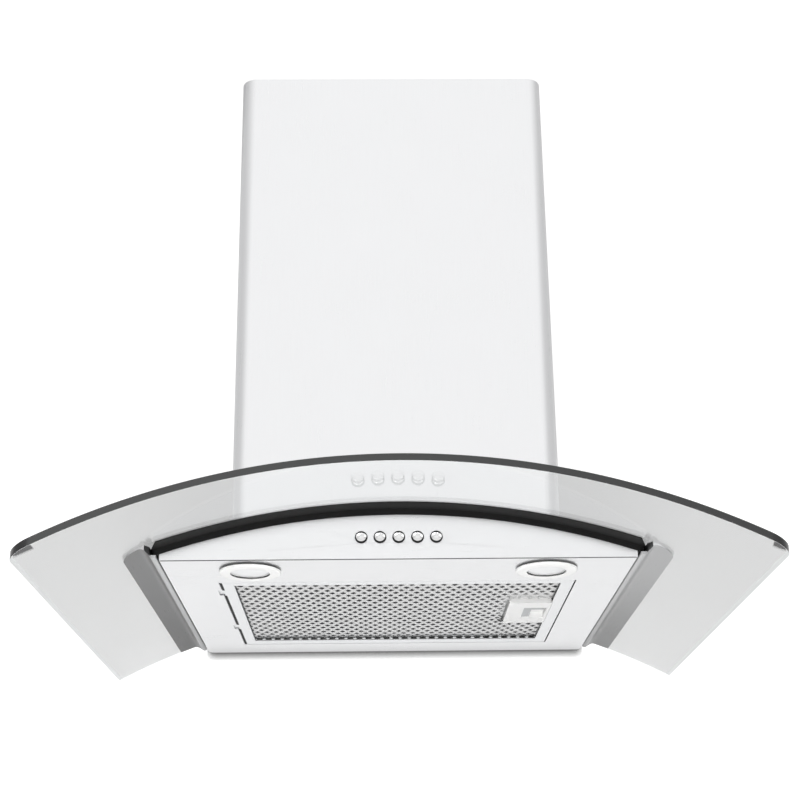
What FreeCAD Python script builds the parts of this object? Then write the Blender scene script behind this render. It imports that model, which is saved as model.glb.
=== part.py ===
import FreeCAD, Part
import math
import os

import Sketcher

# Curved glass wall hood. Millimetres, X to the right, -Y out into the kitchen, +Z up.
# Every sub-part is drawn from the underside of the hood (z = 0) and the wall (y = 0), and its
# Placement then lowers it by hangHeight, so that the origin is the centre of the wall screws.
drivingSizes = {
    # bent glass
    "glassWidth": 600, "glassDepth": 500, "glassThick": 6, "glassArc": 636, "crownRise": 45,
    "glassCorner": 16, "notchGap": 3,
    # black seal and the two steel rails bonded under the glass
    "sealThick": 6, "sealWide": 14, "sealOverhang": 7, "sealProud": 1, "sealRear": 14,
    "lipReach": 17.5, "lipThick": 1,
    "railWidth": 23, "railThick": 1.5, "railCorner": 22, "railRear": 8, "bondLine": 0.2,
    # tray under the glass
    "bodyWidth": 406, "lampBand": 78, "skin": 1, "seamGap": 0.8, "panelCorner": 6,
    "ductLip": 12, "upstand": 10,
    # grease filter
    "filterWidth": 319, "filterDepth": 258, "filterRear": 42, "filterThick": 9, "filterGap": 1.2,
    "filterSkin": 1, "flangeSide": 11.5, "flangeFront": 10, "flangeBack": 15, "meshThick": 0.8,
    "meshPitchX": 22, "meshPitchY": 16, "strandWidth": 5,
    # hinge tabs
    "tabWide": 16.5, "tabThick": 1.5, "tabLow": 1.3, "tabFront": 264, "tabBack": 124.5,
    "tabRest": 3.3, "tabNotch": 1.1, "tabRound": 2, "hingeInset": 2.5, "slotTall": 6,
    # latch in the filter
    "latchWide": 41, "latchLong": 83, "latchCentre": 175, "latchThick": 8, "latchWall": 1,
    "latchEdge": 3, "latchRound": 2, "fingerWide": 22, "fingerLong": 42, "fingerDeep": 5.5,
    "sliderWide": 8, "latchTravel": 6, "tongueWide": 16, "tongueThick": 1.5, "latchGap": 0.3,
    # lamps
    "lampSide": 129, "lampAhead": 42.5, "bezelRadius": 27, "bezelProud": 3.2, "bezelWall": 1,
    "lensRadius": 17, "lampRadius": 21.8, "lampHeight": 13, "lampGap": 0.5, "lampSink": 11,
    "driverWide": 40, "driverDeep": 36, "driverTall": 15, "driverX": 75, "driverFront": 4,
    # push buttons
    "buttonCount": 5, "buttonPitch": 16, "buttonHeight": 19, "buttonRadius": 5, "buttonProud": 4.5,
    "buttonGap": 0.3, "buttonTravel": 3, "buttonDome": 3, "flangeReach": 1, "flangeLong": 1,
    "stemRadius": 2.3, "stemGap": 0.08, "stemLong": 14, "bankWidth": 92, "bankDeep": 26,
    "bankHeight": 22,
    # blower box, wall plate and screws
    "boxWidth": 236, "boxDepth": 214, "boxTop": 270, "boxWall": 1, "plateThick": 2,
    "plateWidth": 286, "plateFoot": 60, "hangHeight": 150, "holeSpanX": 256, "holeSpanZ": 100,
    "holeRadius": 4,
    # clips that hold the glass down
    "clipReach": 24, "clipWide": 20, "clipThick": 1.5, "clipRise": 43, "clipLeg": 22,
    "clipFront": 170, "clipBack": 60, "padInset": 4, "padMargin": 1, "screwRadius": 2,
    "screwHead": 3.8, "screwThick": 1.6,
    # blower
    "fanY": 92, "fanZ": 148, "fanRadius": 75, "fanHalf": 33, "bladeCount": 30, "bladeDeep": 14,
    "bladeLean": 7, "bladeThick": 0.9, "bladeInset": 0.6, "fanPlate": 1.6, "fanRing": 1.6,
    "hubRadius": 12, "hubLong": 22, "shaftRadius": 4, "shaftGap": 0.05, "shaftTail": 2,
    "motorRadius": 38, "motorLong": 68, "motorGap": 3, "bossRadius": 12, "bossLong": 6,
    "scrollHalf": 46, "scrollWall": 1.2, "scrollGap": 8, "scrollStep": 3, "inletRadius": 56,
    "armWide": 14, "armThick": 2, "armReach": 72, "collarDeep": 10, "collarThick": 5,
    "bushCircle": 64, "bushRadius": 5, "bushLong": 4,
    # outlet collar and its two flaps
    "ductY": 130, "collarRadius": 75, "collarWall": 1.5, "collarHeight": 46, "collarFoot": 82,
    "ledgeRise": 6, "ledgeWide": 3.5, "flapThick": 1, "flapGap": 1, "flapLift": 0.1,
    "pinRadius": 1.5, "pinGap": 0.08, "pinRise": 1.8, "pinEnd": 0.1, "knuckleRadius": 3,
    "knuckleLong": 20, "knuckleGap": 0.4,
    # electrics
    "terminalDeep": 26, "lidThick": 2, "lidEdge": 1, "terminalWide": 80, "terminalTall": 60,
    "terminalZ": 190, "capRadius": 14, "capTall": 60, "glandRadius": 9, "glandBore": 4,
    "glandTall": 18, "glandStep": 1.5,
    # telescopic chimney
    "chimneyWidth": 315, "chimneyDepth": 252, "chimneyTop": 560, "chimneyWall": 1,
    "chimneyBend": 15, "chimneyReturn": 12, "chimneyFoot": 20, "nestGap": 1.5, "upperFoot": 150,
    "upperProud": 2, "ventCount": 5, "ventPitch": 9, "ventLong": 80, "ventWide": 3.5, "ventTop": 60,
    "bracketTall": 36, "bracketLeg": 40, "bracketThick": 1.5, "bracketSpan": 120,
    "bracketHole": 3.5, "bracketDrop": 4, "bracketGap": 2,
}

doc = FreeCAD.newDocument("GlassHood")
sheet = doc.addObject("Spreadsheet::Sheet", "Sizes")
for row, (alias, number) in enumerate(drivingSizes.items(), start=1):
    sheet.set(f"A{row}", alias)
    sheet.set(f"B{row}", str(number))
    sheet.setAlias(f"B{row}", alias)
doc.recompute()


class Size:
    """A length with its number and the sheet formula that gives it."""

    def __init__(self, value, text):
        self.value = float(value)
        self.text = text

    def __add__(self, other):
        other = asSize(other)
        return Size(self.value + other.value, f"({self.text} + {other.text})")

    def __sub__(self, other):
        other = asSize(other)
        return Size(self.value - other.value, f"({self.text} - {other.text})")

    def __mul__(self, other):
        other = asSize(other)
        return Size(self.value * other.value, f"({self.text} * {other.text})")

    def __truediv__(self, other):
        other = asSize(other)
        return Size(self.value / other.value, f"({self.text} / {other.text})")

    def __neg__(self):
        return Size(-self.value, f"(-{self.text})")

    def __radd__(self, other):
        return asSize(other) + self

    def __rsub__(self, other):
        return asSize(other) - self

    def __rmul__(self, other):
        return asSize(other) * self


def asSize(value):
    return value if isinstance(value, Size) else Size(value, f"({value})")


def root(size):
    return Size(math.sqrt(size.value), f"sqrt({size.text})")


class Sheet:
    """The driving sizes by name, such as s.glassWidth."""

    def __getattr__(self, alias):
        return Size(drivingSizes[alias], f"Sizes.{alias}")


s = Sheet()
subParts = []
spots = {}


# ---- placing and joining shapes --------------------------------------------------------------

def bind(item, name, size):
    item.setExpression(name, asSize(size).text)


def place(item, x=0, y=0, z=0):
    spots[item.Name] = (asSize(x), asSize(y), asSize(z))
    for axis, size in zip("xyz", spots[item.Name]):
        bind(item, f"Placement.Base.{axis}", size)
    return item


def keep(item, label, x=0, y=0, z=0):
    """Makes item the sub-part called label, in the frame of the wall screws."""
    item.Label = label
    own = spots.get(item.Name, (0, 0, 0))
    place(item, own[0] + x, own[1] + y, own[2] + z - s.hangHeight)
    subParts.append(item)


def box(name, x, y, z):
    """A block between pairs of X, Y and Z."""
    item = doc.addObject("Part::Box", name)
    for side, (low, high) in zip(("Length", "Width", "Height"), (x, y, z)):
        bind(item, side, asSize(high) - low)
    return place(item, x[0], y[0], z[0])


turns = {
    "X": FreeCAD.Rotation(FreeCAD.Vector(0, 1, 0), 90),
    "Y": FreeCAD.Rotation(FreeCAD.Vector(1, 0, 0), -90),
    "Z": FreeCAD.Rotation(),
}


def rod(name, radius, length, x=0, y=0, z=0, along="Z"):
    """A cylinder that starts at a point and runs along +X, +Y or +Z."""
    item = doc.addObject("Part::Cylinder", name)
    bind(item, "Radius", radius)
    bind(item, "Height", length)
    item.Placement = FreeCAD.Placement(FreeCAD.Vector(), turns[along])
    return place(item, x, y, z)


def gather(kind, name, items):
    item = doc.addObject(kind, name)
    item.Shapes = list(items)
    return item


def fuse(name, *items):
    return gather("Part::MultiFuse", name, items)


def common(name, *items):
    return gather("Part::MultiCommon", name, items)


def group(name, items):
    item = doc.addObject("Part::Compound", name)
    item.Links = items
    return item


def cut(name, base, *tools):
    item = doc.addObject("Part::Cut", name)
    item.Base = base
    item.Tool = tools[0] if len(tools) == 1 else fuse(f"{name}Tools", *tools)
    return item


# ---- sketches --------------------------------------------------------------------------------

def newBody(name):
    return doc.addObject("PartDesign::Body", name)


def newSketch(body, plane, offset=0):
    """A sketch on one of the body's own planes, moved off it along the plane's normal."""
    sketch = body.newObject("Sketcher::SketchObject", f"{body.Name}Sketch")
    origin = {item.Role: item for item in body.Origin.OriginFeatures}
    sketch.AttachmentSupport = [(origin[f"{plane}_Plane"], "")]
    sketch.MapMode = "FlatFace"
    bind(sketch, "AttachmentOffset.Base.z", offset)
    return sketch


def pin(sketch, geometry, point, x=None, y=None):
    """Holds one point of a sketch at a place given by sizes."""
    for kind, axis, size in (("DistanceX", -2, x), ("DistanceY", -1, y)):
        if size is None:
            continue
        size = asSize(size)
        if abs(size.value) < 1e-9:
            sketch.addConstraint(Sketcher.Constraint("PointOnObject", geometry, point, axis))
            continue
        index = sketch.addConstraint(Sketcher.Constraint(kind, -1, 1, geometry, point, size.value))
        bind(sketch, f"Constraints[{index}]", size)


def limit(sketch, kind, geometry, size):
    index = sketch.addConstraint(Sketcher.Constraint(kind, geometry, size.value))
    bind(sketch, f"Constraints[{index}]", size)


def flat(x, y):
    return FreeCAD.Vector(asSize(x).value, asSize(y).value, 0)


def addLine(sketch, start, end):
    return sketch.addGeometry(Part.LineSegment(start, end))


def addArc(sketch, centre, radius, start, end):
    """An arc between two angles in radians, the short way round, and whether it turns left."""
    left = (end - start) % (2 * math.pi) < math.pi
    angles = (start, end) if left else (end, start)
    full = Part.Circle(centre, FreeCAD.Vector(0, 0, 1), radius)
    return sketch.addGeometry(Part.ArcOfCircle(full, *angles)), left


def angleOf(point, centre):
    return math.atan2(point.y - centre.y, point.x - centre.x)


def trace(sketch, corners):
    """A closed outline. A corner is (x, y), or (x, y, radius) where two square sides meet in a bend."""
    corners = [tuple(asSize(v) for v in corner) for corner in corners]
    count = len(corners)

    def toward(i, j):
        steps = (b.value - a.value for a, b in zip(corners[i][:2], corners[j % count][:2]))
        return [math.copysign(1, step) if abs(step) > 1e-9 else 0 for step in steps]

    ends = []
    for i, corner in enumerate(corners):
        if len(corner) == 2:
            ends.append((corner, corner, None))
            continue
        x, y, radius = corner
        back, ahead = toward(i, i - 1), toward(i, i + 1)
        first = (x + back[0] * radius, y + back[1] * radius)
        last = (x + ahead[0] * radius, y + ahead[1] * radius)
        centre = (first[0] + ahead[0] * radius, first[1] + ahead[1] * radius)
        ends.append((first, last, centre))
    lines = [addLine(sketch, flat(*ends[i][1]), flat(*ends[(i + 1) % count][0])) for i in range(count)]
    for i, (first, last, centre) in enumerate(ends):
        before, after = lines[i - 1], lines[i]
        if centre is None:
            sketch.addConstraint(Sketcher.Constraint("Coincident", before, 2, after, 1))
            pin(sketch, after, 1, *corners[i])
            continue
        radius, middle = corners[i][2], flat(*centre)
        angles = [angleOf(flat(*end), middle) for end in (first, last)]
        arc, left = addArc(sketch, middle, radius.value, *angles)
        start, end = (1, 2) if left else (2, 1)
        sketch.addConstraint(Sketcher.Constraint("Tangent", before, 2, arc, start))
        sketch.addConstraint(Sketcher.Constraint("Tangent", arc, end, after, 1))
        pin(sketch, arc, 3, *centre)
        limit(sketch, "Radius", arc, radius)
    return sketch


def rectangle(sketch, x, y, radius=None):
    bend = () if radius is None else (radius,)
    corners = ((x[0], y[0]), (x[1], y[0]), (x[1], y[1]), (x[0], y[1]))
    return trace(sketch, [corner + bend for corner in corners])


def circle(sketch, x, y, radius):
    index = sketch.addGeometry(Part.Circle(flat(x, y), FreeCAD.Vector(0, 0, 1), asSize(radius).value))
    pin(sketch, index, 3, x, y)
    limit(sketch, "Radius", index, asSize(radius))
    return sketch


# ---- features --------------------------------------------------------------------------------

def feature(body, kind, sketch, length, symmetric, reversed):
    item = body.newObject(f"PartDesign::{kind}", f"{body.Name}{kind}")
    item.Profile = sketch
    item.SideType = "Symmetric" if symmetric else "One side"
    item.Reversed = reversed
    bind(item, "Length", length)
    return item


def pad(body, sketch, length, symmetric=False):
    return feature(body, "Pad", sketch, length, symmetric, False)


def pocket(body, sketch, length, symmetric=False, reversed=False):
    """A cut to a depth against the sketch's normal, along it when reversed, or half each way."""
    return feature(body, "Pocket", sketch, length, symmetric, reversed)


def revolve(body, corners, plane="XZ"):
    """Turns a half section, drawn as (radius, height), about the sketch's upright axis."""
    sketch = trace(newSketch(body, plane), corners)
    item = body.newObject("PartDesign::Revolution", f"{body.Name}Turned")
    item.Profile = sketch
    item.ReferenceAxis = (sketch, ["V_Axis"])
    item.Angle = 360
    return item


def repeatLine(body, original, sketch, axis, count, pitch):
    """A row of count copies of a feature, pitch apart."""
    item = body.newObject("PartDesign::LinearPattern", f"{body.Name}Row")
    item.Originals = [original]
    item.Direction = (sketch, [axis])
    item.Mode = "Spacing"
    bind(item, "Offset", pitch)
    bind(item, "Occurrences", count)
    body.Tip = item
    return item


def repeatRound(body, original, sketch, count):
    """Count copies of a feature, evenly spaced round the sketch's normal."""
    item = body.newObject("PartDesign::PolarPattern", f"{body.Name}Ring")
    item.Originals = [original]
    item.Axis = (sketch, ["N_Axis"])
    item.Angle = 360
    bind(item, "Occurrences", count)
    body.Tip = item
    return item


# ---- the bend that the glass, the seal and the tray share ------------------------------------

arcZ = s.crownRise - s.glassArc
glassTop = s.glassArc + s.glassThick
bedRadius = s.glassArc - s.sealThick
halfBody = s.bodyWidth / 2
halfBox = s.boxWidth / 2
filterFront = s.filterRear + s.filterDepth
bodyDepth = filterFront + s.lampBand
lampReach = filterFront + s.lampAhead


def bendHeight(radius, x):
    return arcZ + root(radius * radius - x * x)


def bend(name, radius):
    """The full round of one of the bent faces, longer than the hood is deep."""
    return rod(name, radius, s.glassDepth * 1.2, 0, -s.glassDepth * 1.1, arcZ, "Y")


def bentSheet(name, outline, outer, inner):
    """A piece of plan outline cut from the bent layer between two radii."""
    low = bendHeight(inner, s.glassWidth / 2) - s.glassThick
    plan = newBody(f"{name}Plan")
    pad(plan, trace(newSketch(plan, "XY", low), outline), s.crownRise + 2 * s.glassThick - low)
    layer = cut(f"{name}Layer", bend(f"{name}Over", outer), bend(f"{name}Under", inner))
    return common(name, plan, layer)


def makeGlass():
    half, notch = s.glassWidth / 2, halfBox + s.notchGap
    front, notchFront = -s.glassDepth, -s.boxDepth - s.notchGap
    outline = [
        (-half, 0), (-half, front, s.glassCorner), (half, front, s.glassCorner), (half, 0),
        (notch, 0), (notch, notchFront), (-notch, notchFront), (-notch, 0),
    ]
    keep(bentSheet("Glass", outline, glassTop, s.glassArc), "glass_canopy")


def makeSealAndRails():
    edge, inner = halfBody + s.sealOverhang, halfBody - s.sealWide
    front, corner = -bodyDepth - s.sealProud, s.sealOverhang / 2
    outline = [
        (-edge, -s.sealRear), (-edge, front, corner), (edge, front, corner), (edge, -s.sealRear),
        (inner, -s.sealRear), (inner, front + s.sealWide), (-inner, front + s.sealWide),
        (-inner, -s.sealRear),
    ]
    strip = bentSheet("SealStrip", outline, s.glassArc, bedRadius)
    tip, tipEdge = front - s.lipReach, halfBody + s.sealProud
    outline = [
        (-edge, front + s.sealWide), (-edge, front), (-tipEdge, tip), (tipEdge, tip), (edge, front),
        (edge, front + s.sealWide),
    ]
    lip = bentSheet("SealLip", outline, s.glassArc, s.glassArc - s.lipThick)
    keep(fuse("Seal", strip, lip), "glass_seal")
    for side, word in ((-1, "left"), (1, "right")):
        near, far = side * edge, side * (edge + s.railWidth)
        outline = [
            (near, -s.railRear), (near, front), (side * tipEdge, tip), (far, tip, s.railCorner),
            (far, -s.railRear),
        ]
        outer = s.glassArc - s.bondLine
        keep(bentSheet(f"Rail{word}", outline, outer, outer - s.railThick), f"glass_rail_{word}")


# ---- tray ------------------------------------------------------------------------------------

filterLow = -filterFront
filterHigh = -s.filterRear
halfFilter = s.filterWidth / 2
openingX = halfFilter + s.filterGap
openingY = (filterLow - s.filterGap, filterHigh + s.filterGap)
hingeX = -openingX - s.hingeInset
tabMiddles = (-s.tabFront, -s.tabBack)
tongueLow = s.fingerDeep - s.latchGap
tongueHigh = tongueLow + s.tongueThick
lampHole = s.lampRadius + s.lampGap + s.bezelWall
firstButton = -(s.buttonCount - 1) / 2 * s.buttonPitch


def makeShell():
    """Folded sheet: two low sides, the rear wall and the bent bed that carries the glass."""
    front = -bodyDepth + s.skin
    block = box("ShellBlock", (-halfBody, halfBody), (front, 0), (s.skin, s.crownRise))
    inside = halfBody - s.skin
    hollow = box("ShellHollow", (-inside, inside), (front - s.skin, -s.skin), (0, s.crownRise))
    ductX = halfBox - s.ductLip
    ductY = (-s.boxDepth + s.ductLip, -s.ductLip)
    opening = box("ShellDuct", (-ductX, ductX), ductY, (s.skin, s.crownRise + s.skin))
    outer = common("ShellOuter", block, bend("Bed", bedRadius))
    inner = common("ShellInner", hollow, bend("BedUnder", bedRadius - s.skin))
    keep(cut("Shell", outer, inner, opening), "canopy_shell")


def makeFascia():
    body = newBody("Fascia")
    face = newSketch(body, "XZ", bodyDepth - s.skin)
    pad(body, rectangle(face, (-halfBody, halfBody), (0, s.crownRise)), s.skin)
    holes = newSketch(body, "XZ", bodyDepth)
    circle(holes, firstButton, s.buttonHeight, s.buttonRadius + s.buttonGap)
    repeatLine(body, pocket(body, holes, s.skin), holes, "H_Axis", s.buttonCount, s.buttonPitch)
    keep(common("FasciaArched", body, bend("FasciaTop", bedRadius)), "front_fascia")


def makePanel():
    """The underside, with an upstand round the filter opening."""
    body = newBody("Panel")
    front = -bodyDepth + s.skin + s.seamGap
    corner = s.panelCorner
    plan = newSketch(body, "XY")
    trace(plan, [(-halfBody, front), (halfBody, front), (halfBody, 0, corner), (-halfBody, 0, corner)])
    rectangle(plan, (-openingX, openingX), openingY)
    for side in (-1, 1):
        circle(plan, side * s.lampSide, -lampReach, lampHole)
    pad(body, plan, s.skin)
    lip = newSketch(body, "XY", s.skin)
    outside = openingX + s.skin
    rectangle(lip, (-outside, outside), (openingY[0] - s.skin, openingY[1] + s.skin))
    rectangle(lip, (-openingX, openingX), openingY)
    pad(body, lip, s.upstand)
    notches = newSketch(body, "XY", s.skin)
    slots = newSketch(body, "YZ", -openingX + s.skin / 2)
    half = s.tabWide / 2 + s.filterGap
    for middle in tabMiddles:
        rectangle(notches, (hingeX - s.tabNotch, -openingX), (middle - half, middle + half))
        rectangle(slots, (middle - half, middle + half), (s.skin, s.skin + s.slotTall))
    pocket(body, notches, s.skin)
    pocket(body, slots, s.skin * 2)
    keeper = newSketch(body, "YZ", outside + s.skin)
    half = s.tongueWide / 2 + s.filterGap
    height = (tongueLow - s.filterGap, tongueHigh + s.filterGap)
    rectangle(keeper, (-s.latchCentre - half, -s.latchCentre + half), height)
    pocket(body, keeper, s.skin * 3)
    keep(body, "bottom_panel")


# ---- grease filter ---------------------------------------------------------------------------

windowX = halfFilter - s.flangeSide
windowY = (filterLow + s.flangeFront, filterHigh - s.flangeBack)
latchRight = windowX + s.filterSkin / 2
latchX = (latchRight - s.latchWide, latchRight)
latchY = (-s.latchCentre - s.latchLong / 2, -s.latchCentre + s.latchLong / 2)
fingerX = (latchRight - s.latchEdge - s.fingerWide, latchRight - s.latchEdge)
fingerY = (-s.latchCentre - s.fingerLong / 2, -s.latchCentre + s.fingerLong / 2)


def makeFilterFrame():
    """A channel folded from sheet, open to the inside, notched for the latch and its tongue."""
    skin, gap = s.filterSkin, s.latchGap
    body = newBody("FilterFrame")
    ring = newSketch(body, "XY")
    rectangle(ring, (-halfFilter, halfFilter), (filterLow, filterHigh))
    rectangle(ring, (-windowX, windowX), windowY)
    pad(body, ring, s.filterThick)
    channel = newSketch(body, "XY", s.filterThick - skin)
    inside = halfFilter - skin
    rectangle(channel, (-inside, inside), (filterLow + skin, filterHigh - skin))
    pocket(body, channel, s.filterThick - 2 * skin)
    room = newSketch(body, "XY", s.filterThick)
    rectangle(room, (latchX[0] - gap, latchRight + gap), (latchY[0] - gap, latchY[1] + gap))
    pocket(body, room, s.filterThick)
    hole = newSketch(body, "YZ", halfFilter)
    half = s.tongueWide / 2 + gap
    rectangle(hole, (-s.latchCentre - half, -s.latchCentre + half), (tongueLow - gap, tongueHigh + gap))
    pocket(body, hole, skin)
    keep(body, "filter_frame")
    tabs = newBody("FilterTabs")
    plan = newSketch(tabs, "XY", s.tabLow)
    tip, corner = hingeX - s.tabRest, s.tabRound
    for middle in tabMiddles:
        low, high = middle - s.tabWide / 2, middle + s.tabWide / 2
        trace(plan, [(-halfFilter, low), (-halfFilter, high), (tip, high, corner), (tip, low, corner)])
    pad(tabs, plan, s.tabThick)
    keep(tabs, "filter_tabs")


def layerOutline():
    """What the frame's channel holds, with the latch's place left out of one side."""
    inside, low, high = halfFilter - s.filterSkin, filterLow + s.filterSkin, filterHigh - s.filterSkin
    gap = s.latchGap
    return [
        (-inside, low), (inside, low), (inside, latchY[0] - gap), (latchX[0] - gap, latchY[0] - gap),
        (latchX[0] - gap, latchY[1] + gap), (inside, latchY[1] + gap), (inside, high), (-inside, high),
    ]


def makeMesh(name, label, low):
    """Expanded sheet: rows of diamonds, every other row half a pitch along, as one holed face."""
    def wire(corners):
        points = [flat(*corner) for corner in corners]
        return Part.makePolygon(points + points[:1])

    pitchX, pitchY, strand = (sheet.get(alias) for alias in ("meshPitchX", "meshPitchY", "strandWidth"))
    halfX, halfY = (pitchX - strand) / 2, (pitchY - strand) / 2
    edgeX, edgeY = windowX.value - strand / 2, (windowY[1] - windowY[0]).value / 2 - strand / 2
    middle = ((windowY[0] + windowY[1]) / 2).value
    rows, columns = int((edgeY - halfY) / pitchY), int((edgeX - halfX) / (pitchX / 2))
    latchHalf = s.latchLong.value / 2 + halfY + strand
    holes = []
    for row in range(-rows, rows + 1):
        for column in range(-columns, columns + 1):
            x, y = column * pitchX / 2, middle + row * pitchY
            besideLatch = abs(y + s.latchCentre.value) < latchHalf and x + halfX > latchX[0].value - strand
            if (row + column) % 2 or besideLatch:
                continue
            holes.append(wire([(x - halfX, y), (x, y - halfY), (x + halfX, y), (x, y + halfY)]))
    face = Part.makeFace([wire(layerOutline()), *holes], "Part::FaceMakerBullseye")
    item = doc.addObject("Part::Feature", name)
    item.Shape = face.extrude(FreeCAD.Vector(0, 0, sheet.get("meshThick")))
    keep(item, label, 0, 0, low)


def makeFilterPack():
    body = newBody("Pack")
    low = s.filterSkin + s.meshThick
    pad(body, trace(newSketch(body, "XY", low), layerOutline()), s.filterThick - 2 * low)
    keep(body, "filter_pack")


def makeLatch():
    """Moulded plate with a finger recess, and the sprung slider whose tongue leaves by the frame."""
    gap, wall = s.latchGap, s.latchWall
    back = fingerX[0] - s.latchTravel - gap
    body = newBody("LatchHousing")
    pad(body, rectangle(newSketch(body, "XY"), latchX, latchY, s.latchRound), s.latchThick)
    pocket(body, rectangle(newSketch(body, "XY"), fingerX, fingerY), s.fingerDeep, reversed=True)
    room = rectangle(newSketch(body, "XY", s.fingerDeep), (back, fingerX[1]), fingerY)
    pocket(body, room, s.fingerDeep - wall)
    slot = newSketch(body, "XY", tongueHigh + gap)
    half = s.tongueWide / 2
    rectangle(slot, (back, latchRight + gap), (-s.latchCentre - half - gap, -s.latchCentre + half + gap))
    pocket(body, slot, s.tongueThick + 2 * gap)
    keep(body, "latch_housing")
    start = fingerX[0] + gap
    slider = newBody("LatchSlider")
    block = newSketch(slider, "XY", wall + gap)
    rectangle(block, (start, start + s.sliderWide), (fingerY[0] + gap, fingerY[1] - gap))
    pad(slider, block, tongueLow - wall - gap)
    tongue = newSketch(slider, "XY", tongueLow)
    rectangle(tongue, (start, openingX - gap), (-s.latchCentre - half, -s.latchCentre + half))
    pad(slider, tongue, s.tongueThick)
    keep(slider, "latch_slider")


# ---- lamps -----------------------------------------------------------------------------------

def makeLamps():
    bore, outside = lampHole - s.bezelWall, lampHole
    face, seat = -s.bezelProud, -s.skin
    lensEdge = s.lensRadius - s.lampGap / 5
    for side, word in ((-1, "left"), (1, "right")):
        where = (side * s.lampSide, -lampReach)
        bezel = newBody(f"Bezel{word}")
        revolve(bezel, [
            (s.lensRadius, face * 0.7), (s.lensRadius + 2, face), (s.bezelRadius - 3, face),
            (s.bezelRadius, face / 2), (s.bezelRadius, 0), (outside, 0), (outside, s.lampSink),
            (bore, s.lampSink), (bore, seat), (s.lensRadius, seat),
        ])
        keep(bezel, f"lamp_bezel_{word}", *where)
        lens = newBody(f"Lens{word}")
        revolve(lens, [
            (0, face * 0.8), (s.lensRadius - 3, face * 0.75), (lensEdge, face * 0.55), (lensEdge, seat),
            (s.lampRadius, seat), (s.lampRadius, s.skin), (0, s.skin),
        ])
        keep(lens, f"lamp_lens_{word}", *where)
        module = newBody(f"Module{word}")
        neck = s.lampRadius * 0.8
        revolve(module, [
            (0, s.skin), (s.lampRadius, s.skin), (s.lampRadius, s.lampHeight * 0.7),
            (neck, s.lampHeight * 0.85), (neck, s.lampHeight), (0, s.lampHeight),
        ])
        keep(module, f"lamp_module_{word}", *where)
    front = -bodyDepth + s.skin + s.driverFront
    across = (-s.driverX - s.driverWide / 2, -s.driverX + s.driverWide / 2)
    driver = box("Driver", across, (front, front + s.driverDeep), (s.skin, s.skin + s.driverTall))
    keep(driver, "lamp_driver")


# ---- push buttons ----------------------------------------------------------------------------

def makeButtons():
    inner = -bodyDepth + s.skin
    bank = newBody("Bank")
    half = s.bankHeight / 2
    block = newSketch(bank, "XZ", -inner - s.bankDeep)
    rectangle(block, (-s.bankWidth / 2, s.bankWidth / 2), (s.buttonHeight - half, s.buttonHeight + half))
    pad(bank, block, s.bankDeep)
    flange = s.buttonRadius + s.flangeReach
    shoulder = inner + s.buttonGap
    wellDeep = s.buttonGap * 2 + s.flangeLong + s.buttonTravel
    stemEnd = shoulder + s.flangeLong + s.stemLong
    stemDeep = stemEnd - inner + s.buttonTravel + s.buttonGap
    for radius, deep in ((flange + s.buttonGap, wellDeep), (s.stemRadius + s.stemGap, stemDeep)):
        well = circle(newSketch(bank, "XZ", -inner), firstButton, s.buttonHeight, radius)
        repeatLine(bank, pocket(bank, well, deep), well, "H_Axis", s.buttonCount, s.buttonPitch)
    keep(bank, "switch_bank")
    front = -bodyDepth - s.buttonProud
    for number in range(int(s.buttonCount.value)):
        button = newBody(f"Button{number + 1}")
        turned = revolve(button, [
            (0, front), (s.buttonRadius, front), (s.buttonRadius, shoulder), (flange, shoulder),
            (flange, shoulder + s.flangeLong), (s.stemRadius, shoulder + s.flangeLong),
            (s.stemRadius, stemEnd), (0, stemEnd),
        ], "XY")
        doc.recompute()
        rims = [f"Edge{i}" for i, edge in enumerate(turned.Shape.Edges, start=1)
                if abs(edge.BoundBox.YMax - front.value) < 1e-3 and edge.BoundBox.XLength > 1]
        dome = button.newObject("PartDesign::Fillet", f"{button.Name}Dome")
        dome.Base = (turned, rims)
        bind(dome, "Radius", s.buttonDome)
        keep(button, f"button_{number + 1}", firstButton + number * s.buttonPitch, 0, s.buttonHeight)


# ---- blower box, wall plate and the clips on the glass -----------------------------------------

fanAxis = (-s.fanY, s.fanZ)
scrollRadius = s.fanRadius + s.scrollGap
chuteX = s.scrollHalf - s.scrollWall
chuteFront = -s.fanY - scrollRadius - 3 * s.scrollStep
boxUnder = s.boxTop - s.boxWall


def makeBox():
    wall, front, back = s.boxWall, -s.boxDepth, -s.plateThick
    outer = box("BoxOuter", (-halfBox, halfBox), (front, back), (0, s.boxTop))
    inside = halfBox - wall
    inner = box("BoxInner", (-inside, inside), (front + wall, back + wall), (-wall, boxUnder))
    outlet = box("BoxOutlet", (-chuteX, chuteX), (chuteFront, -s.fanY), (boxUnder - wall, s.boxTop + wall))
    keep(cut("BlowerBox", outer, inner, outlet, bend("BoxFoot", bedRadius)), "blower_box")
    plate = newBody("Plate")
    wide, top = s.plateWidth / 2, s.boxTop + s.plateThick
    outline = newSketch(plate, "XZ")
    trace(outline, [
        (-halfBox, s.skin), (halfBox, s.skin), (halfBox, s.plateFoot), (wide, s.plateFoot), (wide, top),
        (-wide, top), (-wide, s.plateFoot), (-halfBox, s.plateFoot),
    ])
    for x in (-1, 1):
        for z in (-1, 1):
            circle(outline, x * s.holeSpanX / 2, s.hangHeight + z * s.holeSpanZ / 2, s.holeRadius)
    pad(plate, outline, s.plateThick)
    keep(cut("BackPlate", plate, bend("PlateFoot", bedRadius)), "back_plate")


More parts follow.
